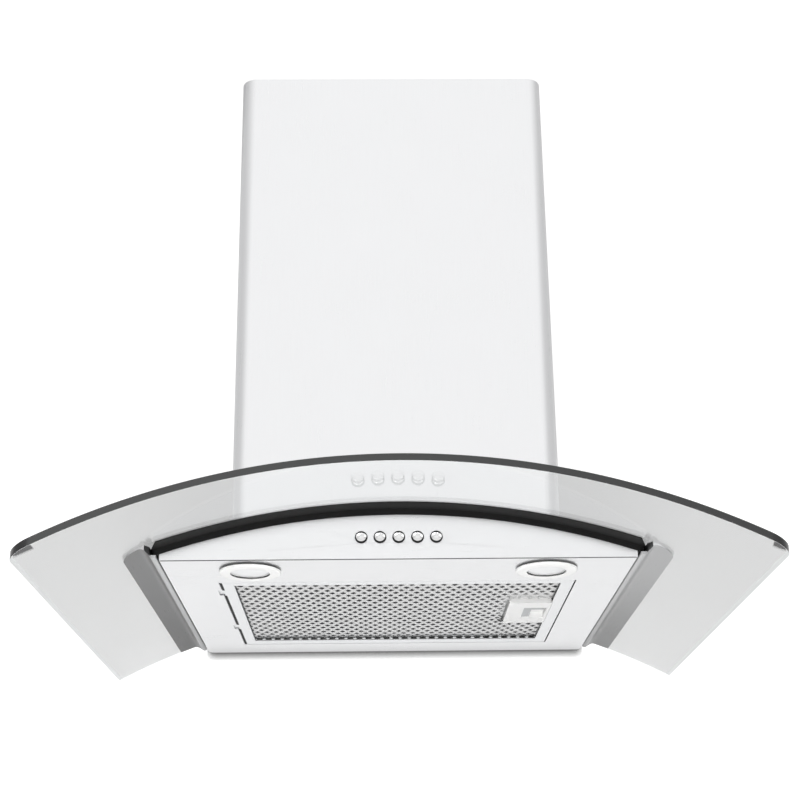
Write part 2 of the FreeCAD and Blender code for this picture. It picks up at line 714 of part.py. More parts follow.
def makeClips():
    """Angle clips screwed to the box's sides, each with a rubber pad that presses on the glass."""
    clips, pads, screws = [], [], []
    thick, rise, edge = s.clipThick, s.clipRise, halfBox + s.clipReach
    for side in (-1, 1):
        def across(near, far):
            return (near, far) if side > 0 else (-far, -near)

        for reach in (s.clipFront, s.clipBack):
            number = len(clips)
            width = (-reach - s.clipWide / 2, -reach + s.clipWide / 2)
            foot = box(f"ClipFoot{number}", across(halfBox, edge), width, (rise, rise + thick))
            leg = box(f"ClipLeg{number}", across(halfBox, halfBox + thick), width, (rise, rise + s.clipLeg))
            clips.append(fuse(f"Clip{number}", foot, leg))
            padX = across(halfBox + s.padInset, edge - s.padMargin)
            padY = (width[0] + s.padMargin, width[1] - s.padMargin)
            block = box(f"PadBlock{number}", padX, padY, (rise - s.clipReach / 2, rise))
            pads.append(cut(f"Pad{number}", block, bend(f"PadSeat{number}", glassTop)))
            start = across(halfBox + thick, halfBox + thick + s.screwThick)[0]
            height = rise + s.clipLeg * 0.65
            screws.append(rod(f"ClipScrew{number}", s.screwHead, s.screwThick, start, -reach, height, "X"))
    keep(group("Clips", clips), "glass_clips")
    keep(group("ClipPads", pads), "clip_pads")
    keep(group("ClipScrews", screws), "clip_screws")


# ---- blower ----------------------------------------------------------------------------------

def scrollProfile(sketch, grow, top):
    """Three quarter turns that widen from the tongue to the upright outlet, moved out by grow."""
    y, z = fanAxis
    step = s.scrollStep
    radii = [scrollRadius + grow + n * step for n in range(3)]
    centres = [(y, z), (y - step, z), (y - step, z + step)]
    tongue = (y + grow, z + root(radii[0] * radii[0] - grow * grow))
    corners = [tongue, (y + radii[0], z), (y - step, z - radii[1]), (y - step - radii[2], z + step)]
    arcs = []
    for number, centre in enumerate(centres):
        middle = flat(*centre)
        angles = (angleOf(flat(*corner), middle) for corner in corners[number:number + 2])
        arcs.append(addArc(sketch, middle, radii[number].value, *angles)[0])
        pin(sketch, arcs[-1], 3, *centre)
    # the turns run clockwise, so point 2 of each arc is its start and point 1 its end
    outline = [tongue, (tongue[0], top), (corners[3][0], top), corners[3]]
    lines = [addLine(sketch, flat(*a), flat(*b)) for a, b in zip(outline, outline[1:])]
    for before, after in zip(lines, lines[1:]):
        sketch.addConstraint(Sketcher.Constraint("Coincident", before, 2, after, 1))
    for before, after in zip(arcs, arcs[1:]):
        sketch.addConstraint(Sketcher.Constraint("Coincident", before, 1, after, 2))
    sketch.addConstraint(Sketcher.Constraint("Coincident", lines[0], 1, arcs[0], 2))
    sketch.addConstraint(Sketcher.Constraint("Coincident", lines[2], 2, arcs[2], 1))
    for line, point, spot in ((0, 1, outline[0]), (0, 2, outline[1]), (1, 2, outline[2])):
        pin(sketch, lines[line], point, *spot)
    pin(sketch, arcs[0], 1, None, z)
    pin(sketch, arcs[1], 1, y - step, None)
    pin(sketch, arcs[2], 1, None, z + step)
    return sketch


def makeScroll():
    deep = s.scrollHalf - s.scrollWall
    for start, hollow, word in ((-s.scrollHalf, 0, "left"), (0, deep, "right")):
        body = newBody(f"Scroll{word}")
        pad(body, scrollProfile(newSketch(body, "YZ", start), s.scrollWall, boxUnder), s.scrollHalf)
        pocket(body, scrollProfile(newSketch(body, "YZ", hollow), 0, s.boxTop), deep)
        inlet = circle(newSketch(body, "YZ"), *fanAxis, s.inletRadius)
        pocket(body, inlet, 3 * s.scrollHalf, symmetric=True)
        keep(body, f"scroll_{word}")


def makeImpeller():
    """Double-inlet drum: a middle plate and hub, forward-curved blades and a ring at each end."""
    body = newBody("Impeller")
    inner = s.fanRadius - s.bladeDeep
    plate = circle(newSketch(body, "YZ"), 0, 0, inner + 2)
    pad(body, plate, s.fanPlate, symmetric=True)
    hub = circle(newSketch(body, "YZ", -s.motorGap), 0, 0, s.hubRadius)
    pad(body, hub, s.hubLong)
    blade = newSketch(body, "YZ")
    first, last = inner + s.bladeInset / 2, s.fanRadius - s.bladeInset * 2
    centre = ((first + last) / 2, s.bladeLean)
    halfSpan = (last - first) / 2
    radius = root(halfSpan * halfSpan + s.bladeLean * s.bladeLean)
    middle = flat(*centre)
    angles = [angleOf(flat(x, 0), middle) for x in (first, last)]
    radii = (radius, radius + s.bladeThick)
    arcs = [addArc(blade, middle, r.value, *angles)[0] for r in radii]
    for arc, r in zip(arcs, radii):
        limit(blade, "Radius", arc, r)
    pin(blade, arcs[0], 3, *centre)
    blade.addConstraint(Sketcher.Constraint("Coincident", arcs[0], 3, arcs[1], 3))
    for point, angle in enumerate(angles, start=1):
        tip = FreeCAD.Vector(math.cos(angle), math.sin(angle), 0)
        edge = addLine(blade, middle + tip * radii[0].value, middle + tip * radii[1].value)
        blade.addConstraint(Sketcher.Constraint("Coincident", arcs[0], point, edge, 1))
        blade.addConstraint(Sketcher.Constraint("Coincident", arcs[1], point, edge, 2))
        blade.addConstraint(Sketcher.Constraint("PointOnObject", arcs[0], 3, edge))
        pin(blade, arcs[0], point, None, 0)
    repeatRound(body, pad(body, blade, 2 * s.fanHalf, symmetric=True), blade, s.bladeCount)
    for start in (-s.fanHalf, s.fanHalf - s.fanRing):
        ring = newSketch(body, "YZ", start)
        circle(ring, 0, 0, s.fanRadius)
        circle(ring, 0, 0, inner)
        pad(body, ring, s.fanRing)
    bore = circle(newSketch(body, "YZ"), 0, 0, s.shaftRadius)
    pocket(body, bore, 4 * s.hubLong, symmetric=True)
    keep(body, "impeller", 0, *fanAxis)


def makeMotor():
    y, z = fanAxis
    face = -2 * s.motorGap
    rear = face - s.motorLong
    can = rod("MotorCan", s.motorRadius, s.motorLong, rear, y, z, "X")
    boss = rod("MotorBoss", s.bossRadius, s.motorLong + s.bossLong, rear - s.bossLong, y, z, "X")
    boreLong = s.motorLong + 3 * s.bossLong
    bore = rod("MotorBore", s.shaftRadius + s.shaftGap, boreLong, rear - 2 * s.bossLong, y, z, "X")
    keep(cut("Motor", fuse("MotorSolid", can, boss), bore), "fan_motor")
    length = s.shaftTail + s.motorLong + s.motorGap + s.hubLong
    keep(rod("Shaft", s.shaftRadius, length, rear - s.shaftTail, y, z, "X"), "motor_shaft")
    bracket = newBody("Bracket")
    plane = -s.scrollHalf - s.armThick
    collar = newSketch(bracket, "YZ", plane + s.armThick - s.collarDeep)
    circle(collar, 0, 0, s.motorRadius + s.collarThick)
    circle(collar, 0, 0, s.motorRadius)
    pad(bracket, collar, s.collarDeep)
    arm = newSketch(bracket, "YZ", plane)
    rectangle(arm, (s.motorRadius + s.collarThick / 2, s.armReach), (-s.armWide / 2, s.armWide / 2))
    circle(arm, s.bushCircle, 0, s.bushRadius)
    repeatRound(bracket, pad(bracket, arm, s.armThick), arm, 3)
    keep(bracket, "motor_bracket", 0, *fanAxis)
    bushes = newBody("Bushes")
    bush = newSketch(bushes, "YZ", plane + s.armThick - s.bushLong)
    circle(bush, s.bushCircle, 0, s.bushRadius)
    circle(bush, s.bushCircle, 0, s.screwRadius)
    repeatRound(bushes, pad(bushes, bush, s.bushLong), bush, 3)
    keep(bushes, "motor_bushes", 0, *fanAxis)


# ---- outlet collar and flaps -----------------------------------------------------------------

ledgeTop = s.boxTop + s.collarWall + s.ledgeRise
pinZ = ledgeTop + s.pinRise


def makeCollar():
    bore, base = s.collarRadius - s.collarWall, s.boxTop
    inner = bore - s.ledgeWide
    collar = newBody("Collar")
    revolve(collar, [
        (bore, base), (s.collarFoot, base), (s.collarFoot, base + s.collarWall),
        (s.collarRadius, base + s.collarWall), (s.collarRadius, base + s.collarHeight),
        (bore, base + s.collarHeight), (bore, ledgeTop), (inner, ledgeTop),
        (inner, ledgeTop - s.collarWall), (bore, ledgeTop - s.collarWall),
    ])
    keep(collar, "outlet_collar", 0, -s.ductY)
    halfPin = bore - s.pinEnd
    keep(rod("FlapPin", s.pinRadius, 2 * halfPin, -halfPin, -s.ductY, pinZ, "X"), "damper_pin")
    reach = bore - s.flapGap
    plate = (ledgeTop + s.flapLift, ledgeTop + s.flapLift + s.flapThick)
    edge, pitch = s.knuckleRadius + s.knuckleGap, s.knuckleLong + s.knuckleGap
    # the two flaps' knuckles take turns along the pin
    starts = {"front": (-3 * pitch, pitch), "rear": (-2 * pitch, 2 * pitch)}
    for side, word in ((-1, "front"), (1, "rear")):
        def outward(near, far):
            return (near - s.ductY, far - s.ductY) if side > 0 else (-s.ductY - far, -s.ductY - near)

        disc = rod(f"Disc{word}", reach, s.flapThick, 0, -s.ductY, plate[0])
        half = box(f"Side{word}", (-reach, reach), outward(edge, reach), plate)
        pieces, bores = [common(f"Half{word}", disc, half)], []
        for number, start in enumerate(starts[word]):
            spot = {"x": start, "y": -s.ductY, "z": pinZ, "along": "X"}
            pieces.append(rod(f"Knuckle{word}{number}", s.knuckleRadius, s.knuckleLong, **spot))
            web = outward(0, edge + s.knuckleGap)
            pieces.append(box(f"Web{word}{number}", (start, start + s.knuckleLong), web, plate))
            bores.append(rod(f"KnuckleBore{word}{number}", s.pinRadius + s.pinGap, s.knuckleLong, **spot))
        keep(cut(f"Flap{word}", fuse(f"Flap{word}Solid", *pieces), *bores), f"damper_flap_{word}")


# ---- electrics on the blower box ---------------------------------------------------------------

def makeElectrics():
    front, back = -s.fanY - s.terminalWide / 2, -s.fanY + s.terminalWide / 2
    low, high = s.terminalZ, s.terminalZ + s.terminalTall
    outside = halfBox + s.terminalDeep
    keep(box("Terminal", (halfBox, outside), (front, back), (low, high)), "terminal_box")
    rim = s.lidEdge
    lid = box("Lid", (outside, outside + s.lidThick), (front - rim, back + rim), (low - rim, high))
    keep(lid, "terminal_lid")
    gland = newBody("Gland")
    nut, dome = s.glandRadius - s.glandStep, s.glandRadius - 2 * s.glandStep
    revolve(gland, [
        (s.glandBore, 0), (s.glandRadius, 0), (s.glandRadius, s.glandTall * 0.4), (nut, s.glandTall * 0.4),
        (nut, s.glandTall * 0.8), (dome, s.glandTall), (s.glandBore, s.glandTall),
    ])
    keep(gland, "cable_gland", halfBox + s.terminalDeep / 2, -s.fanY, high)
    keep(rod("Capacitor", s.capRadius, s.capTall, -halfBox - s.capRadius, -s.fanY, s.terminalZ), "capacitor")


# ---- chimney ---------------------------------------------------------------------------------

def chimneySection(name, inset, low, high):
    """A folded U of sheet with bent front corners and short returns at the wall."""
    body = newBody(name)
    wall, bend = s.chimneyWall, s.chimneyBend - inset
    half, front, rear = s.chimneyWidth / 2 - inset, -s.chimneyDepth + inset, -asSize(inset)
    inner, tip = half - wall, half - s.chimneyReturn
    section = newSketch(body, "XY", low)
    trace(section, [
        (-half, rear), (-half, front, bend), (half, front, bend), (half, rear), (tip, rear),
        (tip, rear - wall), (inner, rear - wall), (inner, front + wall, bend - wall),
        (-inner, front + wall, bend - wall), (-inner, rear - wall), (-tip, rear - wall), (-tip, rear),
    ])
    pad(body, section, high - low)
    return body


def makeChimney():
    lower = chimneySection("ChimneyLower", 0, s.chimneyFoot, s.chimneyTop)
    keep(cut("ChimneyFitted", lower, bend("ChimneySeat", glassTop)), "chimney_lower")
    inset = s.chimneyWall + s.nestGap
    top = s.chimneyTop + s.upperProud
    upper = chimneySection("ChimneyUpper", inset, s.upperFoot, top)
    vents = newSketch(upper, "YZ")
    middle = -s.chimneyDepth / 2
    lowest = top - s.ventTop - s.ventCount * s.ventPitch
    rectangle(vents, (middle - s.ventLong / 2, middle + s.ventLong / 2), (lowest, lowest + s.ventWide))
    slot = pocket(upper, vents, s.chimneyWidth, symmetric=True)
    repeatLine(upper, slot, vents, "V_Axis", s.ventCount, s.ventPitch)
    keep(upper, "chimney_upper")
    makeUpperBracket(inset, top)


def makeUpperBracket(inset, top):
    """Wall strip with a joggle at each end that passes the chimney's returns and holds its sides."""
    thick = s.bracketThick
    half = s.chimneyWidth / 2 - inset - s.chimneyWall
    plate = half + s.chimneyWall - s.chimneyReturn - s.bracketGap
    step = -inset - s.chimneyWall - s.bracketGap
    leg = step - s.bracketLeg
    right = [
        (plate, 0), (plate, step), (half, step), (half, leg), (half - thick, leg),
        (half - thick, step - thick), (plate - thick, step - thick), (plate - thick, -thick),
    ]
    bracket = newBody("UpperBracket")
    section = newSketch(bracket, "XY", top - s.bracketDrop - s.bracketTall)
    trace(section, right + [(-x, y) for x, y in reversed(right)])
    pad(bracket, section, s.bracketTall)
    holes = newSketch(bracket, "XZ")
    height = top - s.bracketDrop - s.bracketTall / 2
    for side in (-1, 1):
        circle(holes, side * s.bracketSpan / 2, height, s.bracketHole)
    pocket(bracket, holes, 4 * thick, symmetric=True)
    keep(bracket, "upper_bracket")


makeGlass()
makeSealAndRails()
makeShell()
makeFascia()
makePanel()
makeFilterFrame()
makeMesh("MeshLower", "filter_mesh_lower", s.filterSkin)
makeMesh("MeshUpper", "filter_mesh_upper", s.filterThick - s.filterSkin - s.meshThick)
makeFilterPack()
makeLatch()
makeLamps()
makeButtons()
makeBox()
makeClips()
makeScroll()
makeImpeller()
makeMotor()
makeCollar()
makeElectrics()
makeChimney()

doc.recompute()
for item in doc.Objects:
    faults = [word for word in item.State if word in ("Invalid", "Error")]
    if faults:
        raise RuntimeError(f"{item.Name} ({item.Label}) is {faults[0]}")
for item in subParts:
    if item.Shape.isNull() or not item.Shape.isValid() or not item.Shape.Solids:
        raise RuntimeError(f"{item.Label} has no valid solid")

os.makedirs("parts", exist_ok=True)
for item in subParts:
    item.Shape.exportStep(f"parts/{item.Label}.step")
print(f"{len(subParts)} sub-parts written")
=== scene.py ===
import math

import bmesh
import bpy
from mathutils import Matrix, Vector, noise


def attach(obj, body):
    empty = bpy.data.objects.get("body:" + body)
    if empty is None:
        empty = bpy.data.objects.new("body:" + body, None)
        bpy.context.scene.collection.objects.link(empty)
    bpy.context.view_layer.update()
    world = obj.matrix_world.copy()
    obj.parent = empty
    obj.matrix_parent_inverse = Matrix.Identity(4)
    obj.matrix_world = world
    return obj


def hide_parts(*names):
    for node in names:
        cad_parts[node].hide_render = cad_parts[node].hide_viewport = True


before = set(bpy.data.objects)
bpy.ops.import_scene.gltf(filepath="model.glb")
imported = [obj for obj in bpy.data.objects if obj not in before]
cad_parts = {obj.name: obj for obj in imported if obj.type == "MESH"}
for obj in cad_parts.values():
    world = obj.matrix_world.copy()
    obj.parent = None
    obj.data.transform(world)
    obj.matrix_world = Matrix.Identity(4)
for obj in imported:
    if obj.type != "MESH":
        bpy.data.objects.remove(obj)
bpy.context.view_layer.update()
print("frame loaded")

# Sizes are in millimetres in the row's frame: x to the right, y to the wall, z up.
mm = 0.001


def point(x, y, z):
    return Vector((x, y, z)) * mm


class Field:
    # One output of a material's node; sums and products of it are Math nodes.
    def __init__(self, surface, socket):
        self.surface = surface
        self.socket = socket

    def maths(self, operation, *values):
        return self.surface.node("Math", {"operation": operation}, dict(enumerate(values)))

    def __add__(self, other):
        return self.maths("ADD", self, other)

    def __sub__(self, other):
        return self.maths("SUBTRACT", self, other)

    def __rsub__(self, other):
        return self.maths("SUBTRACT", other, self)

    def __mul__(self, other):
        return self.maths("MULTIPLY", self, other)

    def __pow__(self, other):
        return self.maths("POWER", self, other)

    def __rpow__(self, other):
        return self.maths("POWER", other, self)

    def __abs__(self):
        return self.maths("ABSOLUTE", self)

    __radd__ = __add__
    __rmul__ = __mul__

    def step(self, low, high):
        # From 0 at low to 1 at high, eased at both ends.
        sockets = {"Value": self, "From Min": low, "From Max": high}
        return self.surface.node("MapRange", {"interpolation_type": "SMOOTHSTEP"}, sockets)

    def mix(self, first, second):
        # The first colour where this field is 0, the second where it is 1.
        sockets = {0: self, 6: colour(first), 7: colour(second)}  # factor, A and B of a colour mix
        return self.surface.node("Mix", {"data_type": "RGBA"}, sockets, output=2)


def colour(value):
    # A grey, or three channels, as a colour socket takes it.
    if isinstance(value, Field):
        return value
    channels = (value,) * 3 if isinstance(value, (int, float)) else tuple(value)
    return (*channels, 1)


class Surface:
    # A material, or the world, with its shader and the nodes that feed it.
    def __init__(self, name, sockets, world=None):
        self.material = world or bpy.data.materials.new(name)
        self.material.use_nodes = True
        self.tree = self.material.node_tree
        self.shader = self.tree.nodes["Background" if world else "Principled BSDF"]
        self.set(sockets)

    def feed(self, socket, value):
        if isinstance(value, Field):
            self.tree.links.new(value.socket, socket)
        else:
            socket.default_value = value

    def set(self, sockets):
        for name, value in sockets.items():
            self.feed(self.shader.inputs[name], value)

    def node(self, kind, settings=None, sockets=None, output=0):
        node = self.tree.nodes.new("ShaderNode" + kind)
        for name, value in (settings or {}).items():
            setattr(node, name, value)
        for name, value in (sockets or {}).items():
            self.feed(node.inputs[name], value)
        return Field(self, node.outputs[output])

    def ray(self, kind):
        # 1 for rays of that kind, 0 for others.
        return self.node("LightPath", output=f"Is {kind} Ray")

    def along(self, axis):
        # The place along x, y or z in metres.
        where = self.node("TexCoord", output="Object")
        return self.node("SeparateXYZ", sockets={"Vector": where}, output=axis)

    def grains(self, kind, size, stretch=(1, 1, 1), detail=None, output=0):
        # A texture whose grains are about size millimetres, drawn out where stretch is small.
        where = self.node("TexCoord", output="Object")
        where = self.node("Mapping", sockets={"Vector": where, "Scale": stretch})
        sockets = {"Vector": where, "Scale": 1 / (size * mm)}
        if detail is not None:
            sockets["Detail"] = detail
        return self.node(kind, sockets=sockets, output=output)

    def noise(self, size, stretch=(1, 1, 1), detail=2):
        return self.grains("TexNoise", size, stretch, detail)

    def bump(self, height, depth, strength):
        # Relief of depth millimetres from a height between 0 and 1.
        sockets = {"Height": height, "Distance": depth * mm, "Strength": strength}
        self.set({"Normal": self.node("Bump", sockets=sockets)})


def finish(name, values):
    # Colour, roughness and relief, each from a noise of (size in mm, stretch, detail).
    surface = Surface(name, values.get("sockets", {}))
    surface.set({
        "Base Color": surface.noise(*values["patch"]).mix(*values["tones"]),
        "Roughness": surface.noise(*values["wear"]) * values["spread"] + values["rough"],
    })
    if "relief" in values:
        surface.bump(surface.noise(*values["relief"]), values["depth"], values["strength"])
    if "glow" in values:
        surface.set({"Emission Color": surface.noise(*values["patch"]).mix(*values["glow"])})
    return surface


steelValues = {
    "lineSize": 0.5, "lineStretch": 0.012, "cloudSize": 60, "lineTone": 0.05, "cloudTone": 0.03,
    "dark": 0.82, "tint": (0.985, 0.99, 1.0), "lineRough": 0.1, "cloudRough": 0.05, "rough": 0.22,
    "lineDepth": 0.02, "lineStrength": 0.25, "rearFade": 0, "rearShadeFrom": -0.4, "detail": 3,
}


def brushedSteel(name, along, **changes):
    # Satin sheet: hair lines along one axis, over a faint cloud where hands and cloths have been.
    values = {**steelValues, **changes}
    surface = Surface(name, {"Metallic": 1})
    stretch = [1.0, 1.0, 1.0]
    stretch[along] = values["lineStretch"]
    hair = surface.noise(values["lineSize"], stretch, values["detail"])
    cloud = surface.noise(values["cloudSize"], detail=values["detail"])
    tone = hair * values["lineTone"] + cloud * values["cloudTone"] + values["dark"]
    # Darker towards the wall behind, when asked for: painted shade.
    if values["rearFade"]:
        tone = tone * (1 - surface.along(1).step(values["rearShadeFrom"], 0) * values["rearFade"])
    surface.set({
        "Base Color": tone.mix((0, 0, 0), values["tint"]),
        "Roughness": hair * values["lineRough"] + cloud * values["cloudRough"] + values["rough"],
    })
    surface.bump(hair, values["lineDepth"], values["lineStrength"])
    return surface


zinc = {
    "spangle": 9, "tones": (0.42, 0.6), "rough": 0.32, "spread": 0.2, "depth": 0.03,
    "strength": 0.3,
}


def galvanised():
    # Zinc spangle: flat crystals, each a little lighter or duller than the next.
    surface = Surface("galvanised_steel_look", {"Metallic": 1})
    crystal = surface.grains("TexVoronoi", zinc["spangle"], output="Color")
    shade = surface.node("SeparateColor", sockets={"Color": crystal})
    surface.set({
        "Base Color": shade.mix(*zinc["tones"]),
        "Roughness": shade * zinc["spread"] + zinc["rough"],
    })
    surface.bump(shade, zinc["depth"], zinc["strength"])
    return surface


millFinish = {
    "line": (0.6, (1, 0.05, 1), 3), "bloom": 22, "share": 0.5, "rough": 0.3, "spread": 0.15,
    "tones": ((0.8, 0.81, 0.82), (0.92, 0.93, 0.94)), "depth": 0.02, "strength": 0.3,
}


def aluminium():
    # Mill finish: fine rolling lines and a dull bloom.
    surface = Surface("aluminium_look", {"Metallic": 1})
    lines = surface.noise(*millFinish["line"])
    bloom = surface.noise(millFinish["bloom"])
    tone = lines * millFinish["share"] + bloom * (1 - millFinish["share"])
    surface.set({
        "Base Color": tone.mix(*millFinish["tones"]),
        "Roughness": bloom * millFinish["spread"] + millFinish["rough"],
    })
    surface.bump(lines, millFinish["depth"], millFinish["strength"])
    return surface


foilValues = {
    "scuff": 1.8, "scuffDetail": 3, "patch": 30, "share": 0.8, "range": (0.3, 0.7),
    "tones": (0.56, 0.84), "rough": 0.25, "spread": 0.25, "depth": 0.12, "strength": 0.6,
}


def meshAluminium():
    # Slit and stretched foil: each strand is turned and scuffed a little differently.
    surface = Surface("mesh_aluminium_look", {"Metallic": 1})
    scuff = surface.noise(foilValues["scuff"], detail=foilValues["scuffDetail"])
    patch = surface.noise(foilValues["patch"])
    tone = scuff * foilValues["share"] + patch * (1 - foilValues["share"])
    surface.set({
        "Base Color": tone.step(*foilValues["range"]).mix(*foilValues["tones"]),
        "Roughness": scuff * foilValues["spread"] + foilValues["rough"],
    })
    surface.bump(scuff, foilValues["depth"], foilValues["strength"])
    return surface


edgeValues = {
    "streak": (3, (0.05, 1, 1), 3), "sides": (-0.3, 0.3), "sideLightShare": 0.8, "turnedFrom": 0.282,
    "turnedTo": 0.286, "tones": ((0.05, 0.052, 0.052), (0.012, 0.013, 0.013)), "turned": 0.006,
    "rough": 0.15, "spread": 0.15,
}


def paintedEdgeShade():
    # Ground and polished edge: the light inside the sheet is lost, so it looks nearly black; that
    # black is painted shade.
    surface = Surface("glass_edge_look", {"Coat Weight": 0.5, "Coat Roughness": 0.08})
    streak = surface.noise(*edgeValues["streak"])
    # Lighter towards the left side, darker towards the right: painted light and shade.
    side = surface.along(0).step(*edgeValues["sides"])
    # Blacker still at the rounded corners: painted shade.
    turned = abs(surface.along(0)).step(edgeValues["turnedFrom"], edgeValues["turnedTo"])
    share = edgeValues["sideLightShare"]
    shade = (side * share + streak * (1 - share)).mix(*edgeValues["tones"])
    surface.set({
        "Base Color": turned.mix(shade, edgeValues["turned"]),
        "Roughness": streak * edgeValues["spread"] + edgeValues["rough"],
    })
    return surface


even = (1, 1, 1)
plasticValues = {  # moulded, with a spark-eroded grain
    "patch": (14,), "wear": (2,), "spread": 0.12, "relief": (0.5, even, 3), "depth": 0.03,
    "strength": 0.35,
}
paintedShadeValues = {  # dark metal with fine rings, as painted shade on walls and gaps that lie in shade
    "sockets": {"Metallic": 1}, "patch": (0.4, (0.1, 0.1, 1)), "wear": (0.4, (0.1, 0.1, 1)),
    "rough": 0.12, "spread": 0.1, "relief": (0.4, (0.1, 0.1, 1)), "depth": 0.01, "strength": 0.3,
}


def plastic(name, rough, tones):
    return finish(name, {**plasticValues, "rough": rough, "tones": tones})


def paintedShade(name, tones):
    return finish(name, {**paintedShadeValues, "tones": tones})


horizontalSteel = brushedSteel("satin_steel_look", 0)
# The rails and their rolled edges are darker copies of the satin steel, the left rail darkest, all
# darker still towards the wall: painted shade.
leftRailShaded = brushedSteel("left_rail_look", 1, dark=0.12, rearFade=0.75)
rightRailShaded = brushedSteel("right_rail_look", 1, dark=0.38, rearFade=0.62)
rolledEdgeShaded = brushedSteel("rolled_edge_painted_shade_look", 1, dark=0.5, rearFade=0.4)
# The fascia gets a lighter copy of the satin steel: painted light.
litFasciaSteel = brushedSteel("fascia_steel_painted_light_look", 0, dark=0.955, lineTone=0.03, cloudTone=0.02)
chimneySteel = brushedSteel("chimney_steel_look", 2, dark=0.88)
sheetAluminium = aluminium()
foil = meshAluminium()
# Dark walls of the lamp rings: painted shade.
lampWallShade = paintedShade("lamp_wall_painted_shade_look", tones=(0.1, 0.18))
hemShade = paintedShade("mesh_shade_look", tones=(0.1, 0.2))
# Black collar round each button: painted shade.
buttonShadeCollar = plastic("button_collar_look", rough=0.3, tones=(0.006, 0.012))
whitePlastic = plastic("white_plastic_look", rough=0.25,
                       tones=((0.87, 0.87, 0.86), (0.92, 0.92, 0.91)))
palePlastic = plastic("latch_slider_look", rough=0.35,
                      tones=((0.42, 0.43, 0.44), (0.5, 0.51, 0.52)))
greyPlastic = plastic("grey_plastic_look", rough=0.4,
                      tones=((0.3, 0.31, 0.32), (0.36, 0.37, 0.38)))
blackPlastic = plastic("black_plastic_look", rough=0.38, tones=(0.018, 0.03))
sealant = plastic("sealant_look", rough=0.5, tones=(0.02, 0.04))
chromePlate = finish("chrome_look", {  # near mirror, with the orange peel of the moulding below
    "sockets": {"Metallic": 1}, "patch": (4,), "tones": (0.8, 0.88), "wear": (0.9,), "rough": 0.07,
    "spread": 0.06, "relief": (0.9,), "depth": 0.01, "strength": 0.3,
})
rubber = finish("rubber_look", {  # extruded: matt black with draw lines and a bloom of dust
    "sockets": {"Specular IOR Level": 0.25}, "patch": (6, even, 4), "tones": (0.009, 0.016),
    "wear": (6, even, 4), "rough": 0.55, "spread": 0.2, "relief": (0.8, (1, 0.1, 1)), "depth": 0.05,
    "strength": 0.3,
})
opalGlass = finish("frosted_lens_look", {  # white inside, softly etched outside
    "sockets": {"Subsurface Weight": 0.3, "Subsurface Radius": (0.004, 0.004, 0.004),
                "Coat Roughness": 0.2, "Coat Weight": 0.3},
    "patch": (9,), "tones": ((0.8, 0.81, 0.82), (0.86, 0.87, 0.87)), "wear": (0.5, even, 3),
    "rough": 0.3, "spread": 0.15, "relief": (0.5, even, 3), "depth": 0.02, "strength": 0.3,
})
motorEnamel = finish("enamelled_steel_look", {  # grey stoving enamel with a fine wrinkle
    "sockets": {"Coat Weight": 0.4, "Coat Roughness": 0.15}, "patch": (20,),
    "tones": ((0.1, 0.105, 0.11), (0.13, 0.135, 0.14)), "wear": (3,), "rough": 0.35, "spread": 0.15,
    "relief": (1.2, even, 3), "depth": 0.05, "strength": 0.4,
})
clearGlass = finish("glass_look", {  # a trace of grey in the mass, dust that only dulls its gloss
    "sockets": {"Transmission Weight": 1, "IOR": 1.5}, "patch": (90, even, 3),
    "tones": ((0.965, 0.97, 0.97), (0.975, 0.985, 0.985)), "wear": (90, even, 3), "rough": 0,
    "spread": 0.004, "relief": (160,), "depth": 0.02, "strength": 0.2,
})
glassArrisHighlight = finish("glass_arris_look", {  # the lower corner of the edge, a frosted line lightened as a painted highlight
    "patch": (0.6, (0.2, 1, 1), 3), "tones": (0.7, 0.85), "wear": (0.6, (0.2, 1, 1), 3),
    "rough": 0.35, "spread": 0.2,
})
glassFlankGlow = finish("glass_flank_look", {  # side and rear edges, given a painted glow so they take the tone of the glass beside them
    "sockets": {"Emission Strength": 1}, "patch": (5, (1, 0.1, 1), 3), "tones": (0.1, 0.16),
    "wear": (5, (1, 0.1, 1), 3), "rough": 0.3, "spread": 0.2,
    "glow": ((0.54, 0.55, 0.55), (0.6, 0.61, 0.61)),
})
looks = {
    "satin_steel": horizontalSteel, "galvanised_steel": galvanised(), "aluminium": sheetAluminium,
    "chrome": chromePlate, "rubber": rubber, "white_plastic": whitePlastic,
    "frosted_lens": opalGlass, "grey_plastic": greyPlastic, "black_plastic": blackPlastic,
    "enamelled_steel": motorEnamel, "glass": clearGlass,
}
own = {
    "chimney_lower": chimneySteel, "chimney_upper": chimneySteel,
    "front_fascia": litFasciaSteel, "latch_housing": whitePlastic, "latch_slider": palePlastic,
}
for name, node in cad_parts.items():
    for slot in node.material_slots:
        slot.material = own.get(name, looks[slot.material.name.split(".")[0]]).material
print("materials made")


def cornerRise(radius, past):
    # How far a rounded corner has turned away, past millimetres after its start.
    return radius - math.sqrt(max(0, radius ** 2 - max(0, past) ** 2))


def linked(name, data):
    # A new object in the scene.
    made = bpy.data.objects.new(name, data)
    bpy.context.scene.collection.objects.link(made)
    return made


def meshed(mesh, name, materials):
    # Turns a bmesh into an object.
    data = bpy.data.meshes.new(name)
    mesh.to_mesh(data)
    mesh.free()
    for surface in materials:
        data.materials.append(surface.material)
    return linked(name, data)


def finished(mesh, name, body, replaced, materials, sharp=35):
    # Turns a bmesh into a piece that rides on its body in place of its CAD nodes.
    bmesh.ops.recalc_face_normals(mesh, faces=mesh.faces[:])
    piece = meshed(mesh, name, materials)
    for face in piece.data.polygons:
        face.use_smooth = True
    piece.data.set_sharp_from_angle(angle=math.radians(sharp))
    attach(piece, body)
    if replaced:
        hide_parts(*replaced)
    return piece


